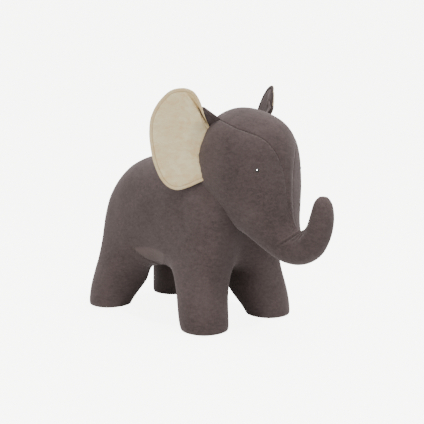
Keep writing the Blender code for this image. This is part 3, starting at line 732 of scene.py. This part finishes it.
def pleat(along, height):
    t, off, depth = pleatAt(along, height)
    fade = smoothStep(*pleatPlan["starts"], t) * (1 - smoothStep(*pleatPlan["ends"], t))
    if fade == 0:
        return 0.0
    off += pleatPlan["bow"] * math.sin(math.pi * min(1, max(0, t)))
    if off > 0:                         # outside the valley, where the panel's edge stands up
        lip = pleatPlan["lip"]
        return (lip * bell(off - lip, lip) - depth * bell(off, pleatPlan["edge"])) * fade
    strip = pleatPlan["strip"] + pleatPlan["stripGrows"] * max(0.0, t)
    return (-depth * bell(off, strip) - pleatPlan["sag"] * (1 - math.exp(off / strip))) * fade


def pleatSwell(along, height):
    # how far the ear's back stands out behind the pleat
    t, off, depth = pleatAt(along, height)
    fade = smoothStep(*pleatPlan["swellStarts"], t)
    fade *= 1 - smoothStep(*pleatPlan["swellEnds"], t)
    return -pleatPlan["swell"] * depth * fade * bell(off, pleatPlan["swellWidth"])


def pucker(along, height):
    # short gathers where the lining is caught in the root seam
    step = 0.0
    for place, lean, depth, reach in earPlan["puckers"]:
        out = along - between(earPlan["root"], height, 1)
        across = height - place - lean * out
        fade = 1 - smoothStep(earPlan["puckerFrom"], reach, out)
        step -= depth * fade * bell(across, earPlan["puckerWidth"])
    return step


def relief(along, height, side):
    # what stands out of the ear's plain face: side is 1 in front and -1 behind
    if side > 0:
        return pleat(along, height) + pucker(along, height)
    return pleatSwell(along, height)


class EarForm:
    # the ear's curved middle surface: way is 1 on the left and -1 on the right
    def __init__(self, way, moved):
        sweep = math.radians(earPlan["sweep"] + moved["sweep"])
        self.out = Vector((way * math.cos(sweep), math.sin(sweep), 0))
        self.front = Vector((way * math.sin(sweep), -math.cos(sweep), 0))
        self.base = Vector((way * (earPlan["base"][0] + moved["x"]),
                            earPlan["base"][1] + moved["y"], moved["z"]))
        self.curl = earPlan["curl"] + moved["curl"]
        self.dish = earPlan["dish"] + moved["dish"]

    def lift(self, along, height):
        rise = max(0.0, (height - earPlan["curlFrom"]) / earPlan["curlRise"])
        curl = self.curl * rise ** 2
        spanned = min(1.0, max(0.0, (along - earPlan["dishFrom"]) / earPlan["dishSpan"]))
        dish = self.dish * math.sin(math.pi * spanned)
        root = between(earPlan["root"], height, 2)
        out = along - between(earPlan["root"], height, 1)
        near = 1 - smoothStep(*earPlan["rootOut"], out)
        near *= 1 - smoothStep(*earPlan["rootUp"], height)
        return (curl + dish) * (1 - near) + root * near

    def spot(self, along, height, off=0.0):
        return (self.base + self.out * along + Vector((0, 0, height))
                + self.front * (self.lift(along, height) + off))


def earRings():
    # rim points, then rings of as many points further in, each with its half thickness and
    # distance in, and the middle point
    rim = curveThrough([Vector((*p, 0)) for p in earPlan["outline"]], earPlan["steps"])
    centre = Vector((*earPlan["centre"], 0))
    count, reach = len(rim), earPlan["reach"]
    spokes = []
    for i, p in enumerate(rim):
        run = (rim[(i + reach) % count] - rim[i - reach]).normalized()
        inward = Vector((-run.y, run.x, 0))
        spoke = (centre - p).normalized()
        spokes.append(spoke / max(earPlan["squarest"], abs(inward.dot(spoke))))
    rings = [([p + spoke * inset for p, spoke in zip(rim, spokes)], half, inset)
             for inset, half in earPlan["section"]]
    last = rings[-1][0]
    for k in range(1, earPlan["rings"]):
        f = k / earPlan["rings"]
        rings.append(([p.lerp(centre, f) for p in last], earPlan["middle"],
                      earPlan["section"][-1][0] + f))
    return rim, rings, centre


def earShell(name, form, way, headTree):
    # cream in front, grey behind; the left ear's inner edge is bound in grey as well
    rim, rings, centre = earRings()
    bm = bmesh.new()
    seam = bm.verts.layers.float.new("seam")
    hem = bm.verts.layers.float.new("hem")
    count, blur = len(rim), earPlan["hemBlur"]
    boundIn, boundOver = earPlan["bound"]

    def put(p, half, side, inset):
        along, height, scale = p.x, p.y, earPlan["lumpScale"]
        lump = noise.noise(Vector((along * scale, height * scale, side * 2.0 + way)))
        off = side * half + relief(along, height, side) + earPlan["lumps"] * lump
        v = bm.verts.new(form.spot(along, height, off))
        # painted shade in the pleat's opening and along the hem's stitch groove
        shade = -pleat(along, height) / pleatPlan["depth"] if side > 0 else 0.0
        v[seam] = max(bell(inset - earPlan["hem"], blur), min(1.0, pleatPlan["dark"] * shade))
        v[hem] = 1 - smoothStep(earPlan["hem"] - blur, earPlan["hem"] + blur, inset)
        return v

    edge = [put(p, 0.0, 1, 0.0) for p in rim]
    for side in (1, -1):
        previous = edge
        for ring, half, inset in rings:
            loop = [put(p, half, side, inset) for p in ring]
            for i, p in enumerate(ring):
                j = (i + 1) % count
                f = bm.faces.new((previous[i], previous[j], loop[j], loop[i]))
                bound = way > 0 and p.x < boundIn and p.y > boundOver
                f.material_index = 1 if bound or side < 0 else 0
            previous = loop
        pole = put(centre, earPlan["middle"], side, 1.0)
        for i in range(count):
            f = bm.faces.new((previous[i], previous[(i + 1) % count], pole))
            f.material_index = 0 if side > 0 else 1
    # painted shade where the ear meets the head
    for v in bm.verts:
        hit = headTree.find_nearest(v.co + shift)
        if hit[0] is not None:
            v[seam] = max(v[seam], earPlan["rootPaintedShade"] * bell(hit[3], earPlan["rootBlur"]))
    return meshOf(name, bm)


gussetPlan = {
    # (distance out, height) down its edge on the ear and down its edge in the head
    "inner": [(-0.004, 0.545), (-0.009, 0.531), (-0.014, 0.515), (-0.020, 0.498),
              (-0.024, 0.478)],
    "outer": [(-0.020, 0.542), (-0.034, 0.532), (-0.047, 0.522), (-0.060, 0.511),
              (-0.068, 0.480)],
    # how far behind the ear's face it starts, how much further back it is in the head
    "behind": 0.0065, "leans": 0.006, "half": 0.0034, "round": 0.45, "across": 24, "down": 32,
    # its own seam: share of the way across, width, how far it is drawn in, how much painted shade
    # it gets
    "seamAt": 0.62, "seamWidth": 0.03, "seamDepth": 0.0012, "seamPaintedShade": 0.8}


def earGusset(name, form, plan):
    # the grey web that carries the ear's back in to the top of the head
    bm = bmesh.new()
    seam = bm.verts.layers.float.new("seam")
    across, down = plan["across"], plan["down"]

    def read(line, t):
        t *= len(line) - 1
        i = min(int(t), len(line) - 2)
        return Vector(line[i]).lerp(Vector(line[i + 1]), t - i)

    def place(side, u, v):
        p = read(plan["inner"], v).lerp(read(plan["outer"], v), u)
        body = 0.0
        if 0 < u < 1 and 0 < v < 1:
            body = (math.sin(math.pi * u) * math.sin(math.pi * v)) ** plan["round"]
        line = bell(u - plan["seamAt"], plan["seamWidth"])
        off = -plan["behind"] - plan["leans"] * u
        off += side * body * (plan["half"] - plan["seamDepth"] * line)
        vert = bm.verts.new(form.spot(p.x, p.y, off))
        # painted shade along the gusset's seam
        vert[seam] = line * plan["seamPaintedShade"]
        return vert

    for side in (1, -1):
        grid = [[place(side, c / across, r / down) for c in range(across + 1)]
                for r in range(down + 1)]
        for above, below in zip(grid, grid[1:]):
            for c in range(across):
                bm.faces.new((above[c], above[c + 1], below[c + 1], below[c]))
    bmesh.ops.remove_doubles(bm, verts=bm.verts, dist=1e-6)
    return meshOf(name, bm)


# hem stitches, laid along a curve by Geometry Nodes
def stitchTree():
    tree = bpy.data.node_groups.new("stitchRow", "GeometryNodeTree")
    face = tree.interface
    face.new_socket("Path", in_out="INPUT", socket_type="NodeSocketGeometry")
    for label in ("Pitch", "Thread", "Length"):
        face.new_socket(label, in_out="INPUT", socket_type="NodeSocketFloat")
    face.new_socket("Finish", in_out="INPUT", socket_type="NodeSocketMaterial")
    face.new_socket("Stitches", in_out="OUTPUT", socket_type="NodeSocketGeometry")
    made = {}

    def add(label, kind, settings=None, **values):
        node = made[label] = tree.nodes.new(kind)
        node.location = (200 * len(made), 0)
        for key, value in (settings or {}).items():
            setattr(node, key, value)
        for key, value in values.items():
            node.inputs[key.replace("_", " ")].default_value = value
        return node

    add("given", "NodeGroupInput")
    add("resample", "GeometryNodeResampleCurve", {"mode": "LENGTH"})
    add("tangent", "GeometryNodeInputTangent")
    add("stitch", "GeometryNodeMeshUVSphere", Segments=8, Rings=6, Radius=1.0)
    add("shape", "ShaderNodeCombineXYZ")
    for half in ("halfLength", "halfThread"):
        add(half, "ShaderNodeMath", {"operation": "MULTIPLY"}).inputs[1].default_value = 0.5
    add("sized", "GeometryNodeTransform")
    add("aim", "FunctionNodeAlignRotationToVector", {"axis": "Z"})
    add("lay", "GeometryNodeInstanceOnPoints")
    add("real", "GeometryNodeRealizeInstances")
    add("smooth", "GeometryNodeSetShadeSmooth")
    add("finish", "GeometryNodeSetMaterial")
    add("result", "NodeGroupOutput")
    for start, given, end, taken in (
            ("given", "Path", "resample", "Curve"), ("given", "Pitch", "resample", "Length"),
            ("given", "Length", "halfLength", 0), ("given", "Thread", "halfThread", 0),
            ("halfThread", "Value", "shape", "X"), ("halfThread", "Value", "shape", "Y"),
            ("halfLength", "Value", "shape", "Z"), ("stitch", "Mesh", "sized", "Geometry"),
            ("shape", "Vector", "sized", "Scale"), ("tangent", "Tangent", "aim", "Vector"),
            ("resample", "Curve", "lay", "Points"), ("sized", "Geometry", "lay", "Instance"),
            ("aim", "Rotation", "lay", "Rotation"), ("lay", "Instances", "real", "Geometry"),
            ("real", "Geometry", "smooth", "Geometry"),
            ("smooth", "Geometry", "finish", "Geometry"),
            ("given", "Finish", "finish", "Material"),
            ("finish", "Geometry", "result", "Stitches")):
        tree.links.new(made[start].outputs[given], made[end].inputs[taken])
    return tree


# a run of stitches stops this far off the head, and a run of too few points is left out
stitchPlan = {"Pitch": 0.0036, "Thread": 0.00075, "Length": 0.0029, "proud": 0.0002,
              "clear": 0.0015, "fewest": 8}
stitchRow = stitchTree()


def sewRow(name, runs, finish):
    # each run is a list of points in body measurements
    curve = bpy.data.curves.new(name, "CURVE")
    curve.dimensions = "3D"
    for run in runs:
        spline = curve.splines.new("POLY")
        spline.points.add(len(run) - 1)
        for point, co in zip(spline.points, run):
            point.co = (*(co + shift), 1.0)
    path = bpy.data.objects.new(name + "Path", curve)
    pieces.objects.link(path)
    modifier = path.modifiers.new("stitches", "NODES")
    modifier.node_group = stitchRow
    for item in stitchRow.interface.items_tree:
        if item.in_out == "INPUT" and item.name in stitchPlan:
            modifier[item.identifier] = stitchPlan[item.name]
        elif item.in_out == "INPUT" and item.name == "Finish":
            modifier[item.identifier] = finish
    graph = bpy.context.evaluated_depsgraph_get()
    mesh = bpy.data.meshes.new_from_object(path.evaluated_get(graph))
    path.modifiers.remove(modifier)
    bpy.data.objects.remove(path)
    mesh.name = name
    row = bpy.data.objects.new(name, mesh)
    pieces.objects.link(row)
    return row


def hemRuns(form, headTree, side):
    # the hem's stitch line on one side of the ear, where it is outside the head
    points, half = next(r[:2] for r in earRings()[1] if abs(r[2] - earPlan["hem"]) < 1e-5)
    runs, run = [], []
    for p in points + points[:1]:
        off = relief(p.x, p.y, side) + side * (half + stitchPlan["proud"])
        co = form.spot(p.x, p.y, off)
        near = headTree.find_nearest(co + shift)
        if (co + shift - near[0]).dot(near[1]) > stitchPlan["clear"]:
            run.append(co)
        elif run:
            runs.append(run)
            run = []
    if run:
        runs.append(run)
    return [r for r in runs if len(r) > stitchPlan["fewest"]]


headTree = BVHTree.FromPolygons([v.co for v in headSkin.data.vertices],
                                [tuple(p.vertices) for p in headSkin.data.polygons])
# the left ear is sewn on a little higher and further forward than the right one
earMoves = {"right": {"x": 0.0, "y": 0.0, "z": 0.0, "sweep": 0.0, "curl": 0.0, "dish": 0.0},
            "left": {"x": 0.0035, "y": -0.015, "z": 0.018, "sweep": 4.0, "curl": -0.002,
                     "dish": 0.012}}
ears, gussets, hems, forms = {}, {}, {}, {}
for side, way in (("left", 1), ("right", -1)):
    form = forms[side] = EarForm(way, earMoves[side])
    ears[side] = finished("ear_" + side, earShell("ear_" + side, form, way, headTree),
                          creamSuede, greySuede)
    gussets[side] = finished("ear_gusset_" + side,
                             earGusset("ear_gusset_" + side, form, gussetPlan), greySuede)
    hems[side] = [sewRow("hem_front_" + side, hemRuns(form, headTree, 1), creamThread),
                  sewRow("hem_back_" + side, hemRuns(form, headTree, -1), greyThread)]
print("ears sewn")


def bead(name, point, normal):
    # a turned bead on a shank, its axis square to the cloth
    bm = bmesh.new()
    spine = [bm.verts.new((r, 0, h)) for r, h in eyePlan["profile"]]
    edges = [bm.edges.new(pair) for pair in zip(spine, spine[1:])]
    bmesh.ops.spin(bm, geom=spine + edges, cent=(0, 0, 0), axis=(0, 0, 1), dvec=(0, 0, 0),
                   angle=math.tau, steps=eyePlan["around"], use_merge=True)
    bmesh.ops.remove_doubles(bm, verts=bm.verts, dist=1e-6)
    turn = normal.to_track_quat("Z", "Y")
    for v in bm.verts:
        v.co = turn @ (v.co - Vector((0, 0, eyePlan["sink"]))) + point
    return meshOf(name, bm)


eyes = {}
x, y, z = eyePlan["at"]
for side, way in (("left", 1), ("right", -1)):
    point, normal = headTree.find_nearest(Vector((way * x, y, z)) + shift)[:2]
    eyes[side] = finished("eye_bead_" + side, bead("eye_bead_" + side, point - shift, normal),
                          beadBlack)

tailPlan = {
    # root in body measurements, the way it hangs, then distance down, half width, half depth
    "root": (0.0, 0.2285, 0.334), "hangs": (0.0, 0.25, -1.0),
    "rings": [(-0.0072, 0.0028, 0.0024), (-0.0055, 0.0055, 0.0048), (0.0, 0.0074, 0.0066),
              (0.015, 0.0072, 0.0060), (0.040, 0.0066, 0.0054), (0.065, 0.0061, 0.0050),
              (0.085, 0.0057, 0.0047), (0.096, 0.0050, 0.0042), (0.1025, 0.0034, 0.0030),
              (0.1045, 0.0014, 0.0012)],
    # the rings' curve is closed inside the tail, and only its part past finest is used
    "closes": (0.05, -0.02, -0.02), "finest": 0.0004, "points": 96, "around": 48,
    # the seam down the underside is painted dark as painted shade
    "lumps": 0.03, "lumpScale": 60, "seamHalf": 0.10, "seamDepth": 0.0009, "seamPaintedShade": 0.6}


def sewnTail(plan):
    # a stuffed tube, seamed down its underside and drawn together at its tip
    down = Vector(plan["hangs"]).normalized()
    side, back = Vector((1, 0, 0)), Vector((1, 0, 0)).cross(down)
    profile = curveThrough([*plan["rings"], plan["closes"]], plan["points"])
    stations = [p for p in profile if min(p.y, p.z) > plan["finest"]]
    stations.sort(key=lambda p: p.x)
    bm = bmesh.new()
    seam = bm.verts.layers.float.new("seam")
    rows = []
    for d, width, depth in stations:
        row = []
        for i in range(plan["around"]):
            angle = math.tau * i / plan["around"]
            near = min(angle, math.tau - angle)
            groove = bell(near, plan["seamHalf"])
            lump = 1 + plan["lumps"] * noise.noise(
                Vector((d * plan["lumpScale"], math.cos(angle), math.sin(angle))))
            r = lump - plan["seamDepth"] / depth * groove
            v = bm.verts.new(Vector(plan["root"]) + down * d + back * (depth * r * math.cos(angle))
                             + side * (width * r * math.sin(angle)))
            # painted shade along the seam
            v[seam] = plan["seamPaintedShade"] * groove
            row.append(v)
        rows.append(row)
    for a, b in zip(rows, rows[1:]):
        for i in range(plan["around"]):
            j = (i + 1) % plan["around"]
            bm.faces.new((a[i], a[j], b[j], b[i]))
    for row, d in ((rows[0], stations[0].x), (rows[-1], stations[-1].x)):
        pole = bm.verts.new(Vector(plan["root"]) + down * d)
        for i in range(plan["around"]):
            bm.faces.new((row[i], row[(i + 1) % plan["around"]], pole))
    return meshOf("tail_tube", bm)


tail = finished("tail_tube", sewnTail(tailPlan), greySuede)
print("eyes and tail made")

# riding on the frame
corners = ("front_left", "front_right", "rear_left", "rear_right")
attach(bodySkin, "stool")
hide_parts("body_cover", "belly_panel", "torso_foam_left", "torso_foam_right",
            *["leg_foam_" + c for c in corners], *["sole_" + c for c in corners])
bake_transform(headSkin)
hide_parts("head_side_left", "head_side_right", "head_gusset", "trunk_cover",
            "head_foam_left", "head_foam_right", "trunk_foam")
for side in ears:
    form = forms[side]
    for piece in (ears[side], gussets[side], *hems[side]):
        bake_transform(piece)
    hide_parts("ear_front_" + side, "ear_back_" + side, "ear_wadding_" + side,
                "ear_roll_" + side)

for side in eyes:
    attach(eyes[side], "stool")
    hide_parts("eye_" + side)
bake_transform(tail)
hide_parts("tail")

finishes = {"pine": pineWood, "plywood": plyWood, "steel": zincPlate, "foam": creamFoam,
            "black_gloss": beadBlack, "black_plastic": glidePlastic, "grey_suede": greySuede,
            "cream_suede": creamSuede}
slotOf = {s["node"]: s["material_slot"] for s in frame["record"]["subparts"]}
for name, node in frame["nodes"].items():
    finish = postWood if "post" in name else finishes[slotOf[name]]
    for place in node.material_slots:
        place.material = finish

# floor, light and camera
studio = {"floor": tone(248, 247, 245), "speck": tone(246, 245, 243), "glow": 6.5,
          "glowTone": tone(255, 254, 251),
          # the floor turns up into a round wall: flat radius, bend radius, wall height
          "flat": 3.4, "bend": 1.2, "wall": 4.5, "bendStep": 6, "around": 72,
          # half width, half length and height of the shade under the body
          "shade": (0.15, 0.24, 0.0004), "shadeDark": tone(70, 66, 64),
          "shadeLight": tone(84, 80, 78),
          # each lamp: place, power, width
          "lamps": {"keyLight": ((0.35, -0.75, 2.6), 36.0, 1.2),
                    "fillLight": ((-2.4, -0.5, 0.35), 16.0, 1.4),
                    "windowLight": ((0.5, -2.6, 1.1), 1.5, 0.5)},
          # a small lamp that only the eyes catch
          "catchLight": ((-1.36, -1.95, 0.80), 1500.0, 1.1),
          # brightness of the room from straight down, through the horizon, to straight up
          "room": [(0.0, 1.25), (0.42, 0.54), (0.62, 0.84), (1.0, 1.30)]}


def loop(bm, count, halfX, halfY, height):
    # points evenly round a level ellipse
    turns = [math.tau * i / count for i in range(count)]
    return [bm.verts.new((halfX * math.cos(a), halfY * math.sin(a), height)) for a in turns]


def stagePiece(name, bm, board):
    # part of the studio, not of the stool
    mesh = meshOf(name, bm, outwards=False, smooth=False)
    mesh.materials.append(board.material)
    piece = bpy.data.objects.new(name, mesh)
    bpy.context.scene.collection.objects.link(piece)
    return piece


floorBoard = Board("paperFloor")
speck = floorBoard.grain(300.0, 2.0, 0.5)
floorBoard.feed(Base_Color=floorBoard.mix(speck, studio["floor"], studio["speck"]),
                Roughness=0.9, Emission_Color=studio["glowTone"],
                Emission_Strength=studio["glow"])
bm = bmesh.new()
flat, bend = studio["flat"], studio["bend"]
wall = [(flat + bend * math.sin(math.radians(d)), bend - bend * math.cos(math.radians(d)))
        for d in range(0, 91, studio["bendStep"])] + [(flat + bend, studio["wall"])]
rows = [loop(bm, studio["around"], r, r, h) for r, h in wall]
bm.faces.new(rows[0])
for a, b in zip(rows, rows[1:]):
    for i in range(studio["around"]):
        j = (i + 1) % studio["around"]
        bm.faces.new((a[i], b[i], b[j], a[j])).smooth = True
floor = stagePiece("floor", bm, floorBoard)
# the room lights the object instead
floor.visible_diffuse = floor.visible_glossy = floor.visible_shadow = False

# the floor under the body lies in its shadow, so it throws no light up
bm = bmesh.new()
bm.faces.new(loop(bm, 48, *studio["shade"]))
bmesh.ops.translate(bm, verts=bm.verts, vec=shift)
shadeBoard = Board("shadedPaper")
shadeBoard.feed(Base_Color=shadeBoard.mix(shadeBoard.grain(40.0), studio["shadeDark"],
                                          studio["shadeLight"]), Roughness=0.95)
floorShade = stagePiece("floorShade", bm, shadeBoard)
floorShade.visible_camera = floorShade.visible_glossy = False

world = bpy.data.worlds.new("studio")
bpy.context.scene.world = world
room = Board("studio", world)
heading = room.node("ShaderNodeTexCoord", out="Generated")
height = room.node("ShaderNodeSeparateXYZ", {}, {"Vector": heading}, "Z")
scaled = room.node("ShaderNodeMapRange", {}, {"Value": height, "From Min": -1.0}, "Result")
stops = [(place, (level, level * 0.995, level * 0.985, 1.0)) for place, level in studio["room"]]
room.feed(Color=room.node("ShaderNodeValToRGB", {"stops": stops}, {"Fac": scaled}, "Color"))


def softBox(name, where, power, size, target=(0, 0, 0.3)):
    data = bpy.data.lights.new(name, "AREA")
    data.shape, data.size, data.energy = "SQUARE", size, power
    lamp = bpy.data.objects.new(name, data)
    lamp.location, lamp.visible_camera = where, False
    lamp.rotation_euler = (Vector(target) - Vector(where)).to_track_quat("-Z", "Y").to_euler()
    bpy.context.scene.collection.objects.link(lamp)
    return lamp


for name, (where, power, size) in studio["lamps"].items():
    softBox(name, where, power, size)
catchers = bpy.data.collections.new("catchers")
for eye in eyes.values():
    catchers.objects.link(eye)
catchLight = softBox("catchLight", *studio["catchLight"])
catchLight.light_linking.receiver_collection = catchers
catchLight.visible_diffuse = False

lens = {"azimuth": -44.34, "elevation": 6.44, "distance": 2.0136, "target": (0.0958, 0, 0.2606),
        "sensor": 36.0, "focal": 61.305}
az, el = math.radians(lens["azimuth"]), math.radians(lens["elevation"])
back = Vector((math.sin(az) * math.cos(el), -math.cos(az) * math.cos(el), math.sin(el)))
target = Vector(lens["target"]) + shift
cameraData = bpy.data.cameras.new("camera")
cameraData.sensor_width, cameraData.lens = lens["sensor"], lens["focal"]
camera = bpy.data.objects.new("camera", cameraData)
camera.location = target + back * lens["distance"]
camera.rotation_euler = (-back).to_track_quat("-Z", "Y").to_euler()
bpy.context.scene.collection.objects.link(camera)
bpy.context.scene.camera = camera
